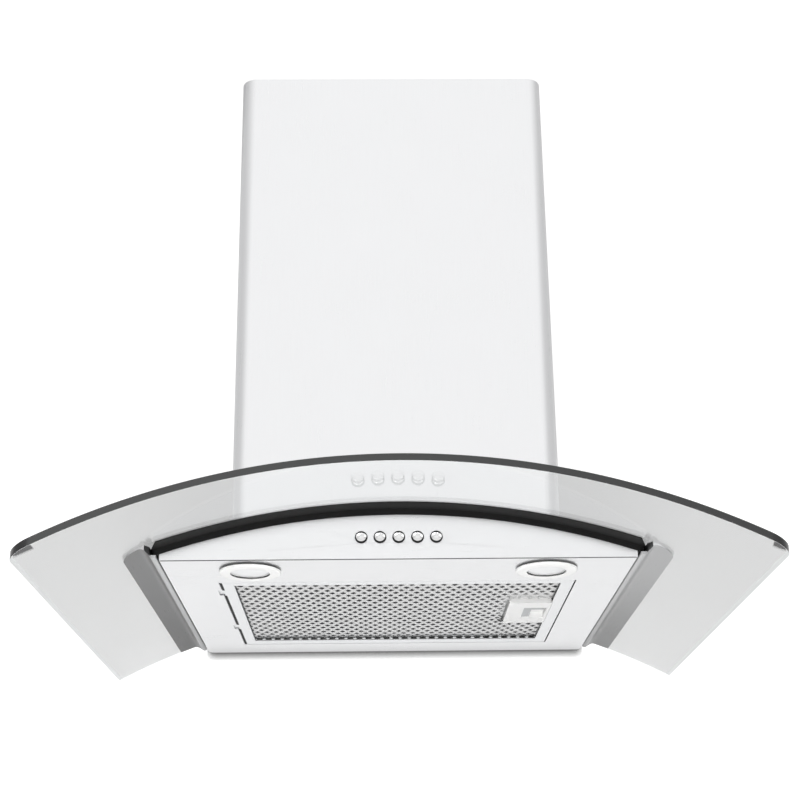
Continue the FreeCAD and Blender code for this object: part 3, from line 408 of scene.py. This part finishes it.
def lathe(mesh, profile, centre, axis, steps, materials=None):
    # Turns a profile of (radius, height along the axis) about an axis through centre.
    rings = []
    for radius, height in profile:
        count = 1 if radius == 0 else steps
        ring = []
        for index in range(count):
            angle = 2 * math.pi * index / steps
            u, v = radius * math.cos(angle), radius * math.sin(angle)
            offset = (u, height, v) if axis == "Y" else (u, v, height)
            ring.append(mesh.verts.new(point(*(c + o for c, o in zip(centre, offset)))))
        rings.append(ring)
    for number, (low, high) in enumerate(zip(rings, rings[1:])):
        for index in range(steps):
            after = (index + 1) % steps
            corners = [low[index % len(low)], low[after % len(low)],
                       high[after % len(high)], high[index % len(high)]]
            corners = list(dict.fromkeys(corners))
            if len(corners) > 2:
                face = mesh.faces.new(corners)
                face.material_index = materials[number] if materials else 0


def prism(mesh, *ends):
    # Joins two outlines with the same number of points, and closes both.
    first, second = [[mesh.verts.new(point(*corner)) for corner in end] for end in ends]
    for index in range(len(first)):
        after = (index + 1) % len(first)
        mesh.faces.new((first[index], first[after], second[after], second[index]))
    mesh.faces.new(first)
    mesh.faces.new(second)


def roundEdges(piece, width, angle):
    # Rounds the edges that turn by more than angle.
    bevel = piece.modifiers.new("edges", "BEVEL")
    bevel.width = width * mm
    bevel.segments = 2
    bevel.limit_method = "ANGLE"
    bevel.angle_limit = math.radians(angle)
    return bevel


sheet = {
    "centre": -741, "inner": 636.05, "outer": 642, "halfWide": 300, "front": -500, "corner": 16,
    "notchX": 121, "notchY": -217, "step": 4, "cornerSteps": 8, "plainY": (-480, -400),
    "edge": 0.9, "edgeSegments": 2, "rimAngle": 60, "sharp": 20,
    "flat": 0.97, "forward": -0.35, "down": -0.5,  # cosines that tell the edge's faces apart
}


def glassRows(x):
    # The y of the front edge, two rows behind it that keep the corners' shading short, the notch's
    # line and the rear edge.
    past = abs(x) - (sheet["halfWide"] - sheet["corner"])
    rows = [sheet["front"] + cornerRise(sheet["corner"], past), *sheet["plainY"], sheet["notchY"]]
    return rows if abs(x) < sheet["notchX"] else rows + [0]


def makeGlass():
    corner, steps = sheet["corner"], sheet["cornerSteps"]
    plain = sheet["halfWide"] - corner
    right = [sheet["step"] * index for index in range(1, int(plain / sheet["step"]) + 1)]
    right += [sheet["notchX"]]
    right += [plain + corner * math.sin(math.pi / 2 * index / steps)
              for index in range(1, steps + 1)]
    right = sorted(set(right))
    columns = [-x for x in reversed(right)] + [0] + right
    mesh = bmesh.new()
    grid = []
    for x in columns:
        z = sheet["centre"] + math.sqrt(sheet["inner"] ** 2 - x * x)
        grid.append([mesh.verts.new(point(x, y, z)) for y in glassRows(x)])
    for left, after in zip(grid, grid[1:]):
        for index in range(min(len(left), len(after)) - 1):
            mesh.faces.new((left[index], after[index], after[index + 1], left[index + 1]))
    made = bmesh.ops.extrude_face_region(mesh, geom=mesh.faces[:])
    for vertex in made["geom"]:
        if isinstance(vertex, bmesh.types.BMVert):
            x = vertex.co.x / mm
            vertex.co.z = (sheet["centre"] + math.sqrt(sheet["outer"] ** 2 - x * x)) * mm
    bmesh.ops.recalc_face_normals(mesh, faces=mesh.faces[:])
    rimAngle = math.radians(sheet["rimAngle"])
    rim = [edge for edge in mesh.edges if edge.calc_face_angle(0) > rimAngle]
    bmesh.ops.bevel(mesh, geom=rim, offset=sheet["edge"] * mm, segments=sheet["edgeSegments"],
                    profile=0.5, affect="EDGES", clamp_overlap=True)
    bmesh.ops.recalc_face_normals(mesh, faces=mesh.faces[:])
    for face in mesh.faces:
        centre = face.calc_center_median()
        outward = Vector((centre.x, 0, centre.z - sheet["centre"] * mm)).normalized()
        facing = face.normal.dot(outward)
        if abs(facing) < sheet["flat"]:
            front = face.normal.y < sheet["forward"]
            face.material_index = (1 if facing > sheet["down"] else 2) if front else 3
    pane = finished(mesh, "glass_sheet", "hood", ["glass_canopy"],
                    [clearGlass, paintedEdgeShade(), glassArrisHighlight, glassFlankGlow], sheet["sharp"])
    pane.visible_shadow = False  # its shadow would be black, for light isn't traced through it


makeGlass()
print("glass made")


button = {
    "count": 5, "first": -32, "pitch": 16, "z": -131, "front": -382.5, "dome": 1.3, "cap": 4.45,
    "capEnd": -378.4, "radius": 5, "lip": 0.25, "rim": -378.2, "flange": 6, "shoulder": -376.7,
    "flangeEnd": -375.7, "stem": 2.3, "end": -361.7, "steps": 64, "domeSteps": 10,
}


def makeButtons():
    # A plated dome set in a collar painted black as painted shade, on the stem that works the
    # switch.
    cap, dome = button["cap"], button["dome"]
    sphere = (cap ** 2 + dome ** 2) / (2 * dome)
    most = math.asin(cap / sphere)
    profile = []
    for index in range(button["domeSteps"] + 1):
        angle = most * index / button["domeSteps"]
        profile.append((sphere * math.sin(angle), button["front"] + sphere * (1 - math.cos(angle))))
    profile += [
        (cap, button["capEnd"]), (button["radius"] - button["lip"], button["capEnd"]),
        (button["radius"], button["rim"]), (button["radius"], button["shoulder"]),
        (button["flange"], button["shoulder"]), (button["flange"], button["flangeEnd"]),
        (button["stem"], button["flangeEnd"]), (button["stem"], button["end"]), (0, button["end"]),
    ]
    domeFaces = button["domeSteps"]
    faces = [0] * domeFaces + [1] * (len(profile) - 1 - domeFaces)
    for number in range(button["count"]):
        mesh = bmesh.new()
        centre = (button["first"] + number * button["pitch"], 0, button["z"])
        lathe(mesh, profile, centre, "Y", button["steps"], faces)
        name = f"button_{number + 1}"
        finished(mesh, name + "_cap", name, [name], [chromePlate, buttonShadeCollar])


makeButtons()
print("buttons made")


lampSizes = {
    "x": 129, "y": -342.5, "steps": 96, "paintedShade": (2, 8, 9),  # the ring's walls painted dark as painted shade
    "ring": (
        (23.3, -139), (23.3, -150), (27, -150), (27, -151.4), (26.4, -152.5), (25.2, -153.1),
        (24, -153.2), (17.8, -153.2), (17.2, -153.05), (17, -152.6), (16.9, -151.6),
        (16.8, -151.5), (17, -151), (22.3, -151), (22.3, -139), (23.3, -139),
    ),
    "lens": (
        (0, -152.4), (5, -152.36), (10, -152.2), (14, -151.9), (16.2, -151.5), (16.8, -151.1),
        (16.8, -150.9), (21.8, -150.9), (21.8, -149), (0, -149),
    ),
}


def makeLamps():
    # White ring whose walls outside and round the lens are painted dark as painted shade; the lens
    # lies below the ring's face.
    walls = [int(index in lampSizes["paintedShade"]) for index in range(len(lampSizes["ring"]) - 1)]
    for side, word in ((-1, "left"), (1, "right")):
        centre = (side * lampSizes["x"], lampSizes["y"], 0)
        mesh = bmesh.new()
        lathe(mesh, lampSizes["ring"], centre, "Z", lampSizes["steps"], walls)
        finished(mesh, f"lamp_ring_{word}", "hood", [f"lamp_bezel_{word}"],
                 [whitePlastic, lampWallShade])
        mesh = bmesh.new()
        lathe(mesh, lampSizes["lens"], centre, "Z", lampSizes["steps"])
        finished(mesh, f"lamp_glass_{word}", "hood", [f"lamp_lens_{word}"],
                 [opalGlass])


makeLamps()
print("lamps made")


rail = {
    "step": 210, "stepWide": 0.01, "outer": 233, "front": -396.5, "rear": -8, "thick": 1.7,
    "hem": 2.5, "hemX": 207.3, "hemDrop": 2.2, "hemGap": 0.1, "hemSteps": 16, "hemFront": -384,
    "runOut": 11, "underSeal": -147.05, "bond": 0.2, "corner": 22, "tipInner": -388,
    "tipOuter": 213, "rows": 24, "columns": 14, "edge": 0.5, "edgeAngle": 50, "sharp": 40,
}


def railFront(x):
    # The hem starts behind the seal's tip; the strip has a slanted end there and a round corner
    # on its outer side.
    if x < rail["step"]:
        return rail["hemFront"]
    if x < rail["tipOuter"]:
        share = (x - rail["step"]) / (rail["tipOuter"] - rail["step"])
        return rail["tipInner"] + (rail["front"] - rail["tipInner"]) * share
    return rail["front"] + cornerRise(rail["corner"], x - (rail["outer"] - rail["corner"]))


def railHigh(x):
    if x < rail["step"]:
        return rail["underSeal"]
    return sheet["centre"] + math.sqrt((sheet["inner"] - rail["bond"]) ** 2 - x * x)


def railLow(x):
    # A rolled hem below the seal that runs out into a strip of even thickness along the glass.
    aside = (rail["hemX"] - x) / rail["hem"]
    drop = rail["hemDrop"] * math.sqrt(1 - max(0, aside) ** 2)
    hemLow = rail["underSeal"] - rail["hemGap"] - drop
    if x <= rail["hemX"]:
        return hemLow
    strip = railHigh(max(x, rail["step"])) - rail["thick"]
    share = min(1, (x - rail["hemX"]) / rail["runOut"])
    share = share * share * (3 - 2 * share)
    return hemLow + (strip - hemLow) * share


def makeRails():
    # Rolled rail under the glass; its inner edge is turned round below the seal.
    step, tip = rail["step"], rail["tipOuter"]
    columns = [rail["hemX"] - rail["hem"] * math.cos(math.pi * index / rail["hemSteps"])
               for index in range(rail["hemSteps"] + 1)]
    columns += [step - rail["stepWide"], step, (step + tip) / 2, tip]
    columns += [tip + (rail["outer"] - tip) * math.sin(math.pi / 2 * index / rail["columns"])
                for index in range(1, rail["columns"] + 1)]
    for side, word, surface in ((-1, "left", leftRailShaded), (1, "right", rightRailShaded)):
        mesh = bmesh.new()
        layers = []
        for height in (railLow, railHigh):
            grid = []
            for x in columns:
                start = railFront(x)
                pitch = (rail["rear"] - start) / rail["rows"]
                grid.append([mesh.verts.new(point(side * x, start + pitch * row, height(x)))
                             for row in range(rail["rows"] + 1)])
            layers.append(grid)
        for grid in layers:
            for left, after in zip(grid, grid[1:]):
                for row in range(rail["rows"]):
                    face = mesh.faces.new((left[row], after[row], after[row + 1], left[row + 1]))
                    face.material_index = int(abs(after[row].co.x) < step * mm)
        low, high = layers
        for end in (0, -1):
            for row in range(rail["rows"]):
                mesh.faces.new((low[end][row], low[end][row + 1], high[end][row + 1],
                                high[end][row]))
            for index in range(len(columns) - 1):
                face = mesh.faces.new((low[index][end], low[index + 1][end], high[index + 1][end],
                                       high[index][end]))
                face.material_index = 1
        piece = finished(mesh, f"rail_{word}", "hood", [f"glass_rail_{word}"],
                         [surface, rolledEdgeShaded], rail["sharp"])
        roundEdges(piece, rail["edge"], rail["edgeAngle"])


seam = {"x": 202.4, "y": (-377.1, -375.9), "low": -150.3, "hollow": -150.2, "high": -149.05}


def makeSeam():
    # Sealant drawn into the joint between the fascia and the bottom panel.
    mesh = bmesh.new()
    front, rear = seam["y"]
    middle = (front + rear) / 2
    section = [(front, seam["low"]), (middle, seam["hollow"]), (rear, seam["low"]),
               (rear, seam["high"]), (front, seam["high"])]
    prism(mesh, *([(side * seam["x"], y, z) for y, z in section] for side in (-1, 1)))
    finished(mesh, "seam_sealant", "hood", [], [sealant])


makeRails()
makeSeam()
print("rails and seam made")


lattice = {
    "x": (-158.3, 158.3), "y": (-298.8, -57.4), "wide": 9.8, "long": 19, "hole": (0.62, 0.3),
    "stray": 1.1, "strayOver": 7, "strayLevel": 9, "seed": 1, "latchX": 107,
    "latchY": (-219, -131), "sharp": 60,
    "layers": (  # height, lean of the strands, shift and scale
        (-146.9, 0.35, 0, 1), (-145.6, 0.4, 2.2, 1.03), (-144.4, 0.4, 4.1, 0.96),
        (-143.2, 0.4, 6.7, 1.07),
    ),
}


def makeLattice(name, layers, replaced):
    # Diamonds slit and pulled open: each hole's two strands lean opposite ways.
    mesh = bmesh.new()
    wider, longer = lattice["hole"]
    for level, tilt, shift, scale in layers:
        halfX, halfY = lattice["wide"] * scale / 2, lattice["long"] * scale / 2
        columns = int((lattice["x"][1] - lattice["x"][0] - shift) / halfX)
        rows = int((lattice["y"][1] - lattice["y"][0] - shift) / halfY)
        known = {}

        def place(i, j):
            return lattice["x"][0] + shift + i * halfX, lattice["y"][1] - shift - j * halfY

        def knot(i, j):
            if (i, j) not in known:
                x, y = place(i, j)
                spot = Vector((x, y, level * lattice["strayLevel"])) / lattice["strayOver"]
                stray = noise.noise_vector(spot) * lattice["stray"]
                known[i, j] = mesh.verts.new(point(x + stray.x, y + stray.y, level))
            return known[i, j]

        for i in range(1, columns):
            for j in range(1 + (i + 1) % 2, rows, 2):
                x, y = place(i, j)
                byLatch = lattice["latchY"][0] < y < lattice["latchY"][1]
                if byLatch and x > lattice["latchX"] - halfX:
                    continue
                outer = [knot(i + 1, j), knot(i, j + 1), knot(i - 1, j), knot(i, j - 1)]
                middle = sum((corner.co for corner in outer), Vector()) / 4
                inner = []
                for corner, lean in zip(outer, (0, 1, 0, -1)):
                    reach = corner.co - middle
                    spot = Vector((reach.x * wider, reach.y * longer, reach.z)) + middle
                    inner.append(mesh.verts.new(spot + point(0, 0, lean * tilt)))
                for index in range(4):
                    after = (index + 1) % 4
                    mesh.faces.new((outer[index], outer[after], inner[after], inner[index]))
    finished(mesh, name, "filter", replaced, [foil], lattice["sharp"])


hem = {
    "x": 147.9, "y": -56.9, "low": -149, "high": -146.6, "pitch": 9.6, "bead": 1.9,
    "beadHigh": 0.85, "proud": 0.7, "step": 0.6, "rows": 8, "thick": 0.2, "sharp": 60,
}


def makeHem():
    # The mesh's folded rear edge: knots stand out along it, with shade between them.
    mesh = bmesh.new()
    count = int(2 * hem["x"] / hem["step"])
    middle = (hem["low"] + hem["high"]) / 2
    grid, swells = [], []
    for index in range(count + 1):
        x = -hem["x"] + 2 * hem["x"] * index / count
        across = ((x / hem["pitch"]) % 1 - 0.5) * hem["pitch"] / hem["bead"]
        column = []
        for row in range(hem["rows"] + 1):
            z = hem["low"] + (hem["high"] - hem["low"]) * row / hem["rows"]
            up = (z - middle) / hem["beadHigh"]
            swell = math.sqrt(max(0, 1 - across * across - up * up))
            column.append(mesh.verts.new(point(x, hem["y"] - hem["proud"] * swell, z)))
            swells.append(swell)
        grid.append(column)
    for index, (left, after) in enumerate(zip(grid, grid[1:])):
        for row in range(hem["rows"]):
            face = mesh.faces.new((left[row], after[row], after[row + 1], left[row + 1]))
            corner = index * (hem["rows"] + 1) + row
            face.material_index = int(any(swells[corner:corner + 2]))
    piece = finished(mesh, "filter_mesh_hem", "filter", [], [hemShade, sheetAluminium],
                     hem["sharp"])
    thick = piece.modifiers.new("thick", "SOLIDIFY")
    thick.thickness = hem["thick"] * mm


gapShadeStrip = {
    "x": (-160.25, -158), "z": (-150.12, -149.9), "corner": (0.3, 0.06),
    "y": ((-299.6, -274), (-254, -134.5), (-114.5, -44)),
}


def makeGapShadeStrip():
    # Black strip along the filter's hinge side, in lengths between the tabs: painted shade for the
    # gap there.
    (left, right), (low, high) = gapShadeStrip["x"], gapShadeStrip["z"]
    wide, tall = gapShadeStrip["corner"]
    crown = [(left, high), (left, low + tall), (left + wide, low), (right - wide, low),
             (right, low + tall), (right, high)]
    for number, ends in enumerate(gapShadeStrip["y"]):
        mesh = bmesh.new()
        prism(mesh, *([(x, y, z) for x, z in crown] for y in ends))
        finished(mesh, f"filter_gap_shade_{number + 1}", "filter", [], [rubber])


makeHem()
makeGapShadeStrip()
noise.seed_set(lattice["seed"])  # without it the strands stray differently on each run
makeLattice("filter_lattice", lattice["layers"][:1], ["filter_mesh_lower"])
makeLattice("filter_layers", lattice["layers"][1:], ["filter_pack"])
print("filter mesh made")


edges = {
    "weld": 0.002, "angle": 35,
    "widths": {
        "chimney_lower": 0.3, "chimney_upper": 0.3, "front_fascia": 0.3, "bottom_panel": 0.3,
        "canopy_shell": 0.3, "filter_frame": 0.4, "latch_housing": 0.6, "latch_slider": 0.3,
        "glass_seal": 0.25, "filter_tabs": 0.3,
    },
}


def soften(nodeName, width):
    # Breaks the sharp edges of a CAD node, as folded or cut sheet has them.
    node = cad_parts[nodeName]
    weld = node.modifiers.new("weld", "WELD")
    weld.merge_threshold = edges["weld"] * mm
    roundEdges(node, width, edges["angle"]).harden_normals = True


for name, width in edges["widths"].items():
    soften(name, width)
print("edges softened")


stage = {
    "floor": -1200, "wall": 1.5, "reach": 4000, "rough": 0.9, "cloud": 300, "cloudTone": 0.04,
    "floorPaint": 0.8, "wallPaint": 0.33, "cameraGlow": 0.9, "wallGloss": 0.66, "floorGloss": 0.55,
    "clearGlow": 0.37, "upper": (-0.12, -0.04), "paintedShadeAbove": 0.35, "shadeReach": 11,
    "shadeX": (0.204, 0.208), "shadePower": 3, "shadeSamples": 8,
}


def stageLook(name, paint, glossGlow):
    # Plain pale paint that the camera sees as white; metal and glass see nearly that.
    surface = Surface(name, {
        "Roughness": stage["rough"], "Specular IOR Level": 0, "Emission Strength": 1,
    })
    # Contact shadow where the body's lower edge meets the wall.
    contact = surface.node("AmbientOcclusion", {"samples": stage["shadeSamples"]},
                           {"Distance": stage["shadeReach"] * mm}, output="AO")
    under = 1 - abs(surface.along(0)).step(*stage["shadeX"])
    light = 1 - (1 - contact ** stage["shadePower"]) * under
    # A ray that has passed through glass may count as glossy as well; it is taken as clear only.
    clear = surface.ray("Transmission")
    # Metal sees the wall dimmer higher up, from z −120 mm: painted shade.
    upper = 1 - surface.along(2).step(*stage["upper"]) * stage["paintedShadeAbove"]
    glow = (surface.ray("Camera") * light * stage["cameraGlow"]
            + surface.ray("Glossy") * (1 - clear) * upper * glossGlow
            + clear * stage["clearGlow"])
    cloud = surface.noise(stage["cloud"]) * stage["cloudTone"]
    surface.set({
        "Base Color": (light * (cloud + paint)).mix(0, 1),
        "Emission Color": glow.mix(0, 1),
        "Alpha": 1 - surface.node("NewGeometry", output="Backfacing"),
    })
    return surface


def stagePlane(name, corners, surface):
    mesh = bmesh.new()
    mesh.faces.new([mesh.verts.new(point(*corner)) for corner in corners])
    meshed(mesh, name, [surface])


def makeStage():
    reach, floor, wall = stage["reach"], stage["floor"], stage["wall"]
    square = ((-reach, -reach), (reach, -reach), (reach, reach), (-reach, reach))
    stagePlane("floor", [(x, y, floor) for x, y in square],
               stageLook("floor_paint", stage["floorPaint"], stage["floorGloss"]))
    stagePlane("wall", [(x, wall, z) for x, z in square],
               stageLook("wall_paint", stage["wallPaint"], stage["wallGloss"]))


sky = {"aside": (0.2, 0.9), "asideDim": 0.36, "light": 0.4}


def makeWorld():
    # White to the camera, glass and metal, a little less to the sides for metal; softer as light.
    world = bpy.data.worlds.new("studio")
    bpy.context.scene.world = world
    surface = Surface("studio", {}, world)
    seen = surface.ray("Camera") + surface.ray("Transmission")
    gloss = surface.ray("Glossy") * (1 - seen)
    where = surface.node("TexCoord", output="Generated")
    aside = abs(surface.node("SeparateXYZ", sockets={"Vector": where})).step(*sky["aside"])
    level = seen + gloss * (1 - aside * sky["asideDim"]) + (1 - (seen + gloss)) * sky["light"]
    surface.set({"Color": level.mix(0, 1)})


lamps = {  # place, what it points at, size and power in watts
    "key": ((-1300, -2100, 1500), (0, -200, 0), 1500, 10),
    "fill": ((1700, -1900, 300), (0, -200, 0), 1500, 4),
    "low": ((0, -900, -900), (0, -250, -150), 700, 8),
}


def makeStageLamp(name, place, aim, size, power):
    data = bpy.data.lights.new(name, "AREA")
    data.shape = "DISK"
    data.size = size * mm
    data.energy = power
    made = linked(name, data)
    made.location = point(*place)
    made.rotation_euler = (point(*aim) - made.location).to_track_quat("-Z", "Y").to_euler()
    made.visible_glossy = False


makeStage()
makeWorld()
for name, values in lamps.items():
    makeStageLamp(name, *values)
print("studio made")


view = {
    "place": (-17.6087, -1545.35, -475.2943), "yaw": -0.0165, "pitch": 0.3266, "roll": -0.0124,
    "lens": 64.28, "sensor": 36, "shift": 0.1, "clip": 20,
}


def makeCamera():
    data = bpy.data.cameras.new("camera")
    data.sensor_width = view["sensor"]
    data.lens = view["lens"]
    data.shift_y = view["shift"]
    data.clip_start = view["clip"] * mm
    camera = linked("camera", data)
    camera.matrix_world = (
        Matrix.Translation(point(*view["place"])) @ Matrix.Rotation(view["yaw"], 4, "Z")
        @ Matrix.Rotation(math.pi / 2 + view["pitch"], 4, "X")
        @ Matrix.Rotation(view["roll"], 4, "Z")
    )
    bpy.context.scene.camera = camera


makeCamera()
bpy.context.scene.view_settings.view_transform = "Standard"

print("camera set")
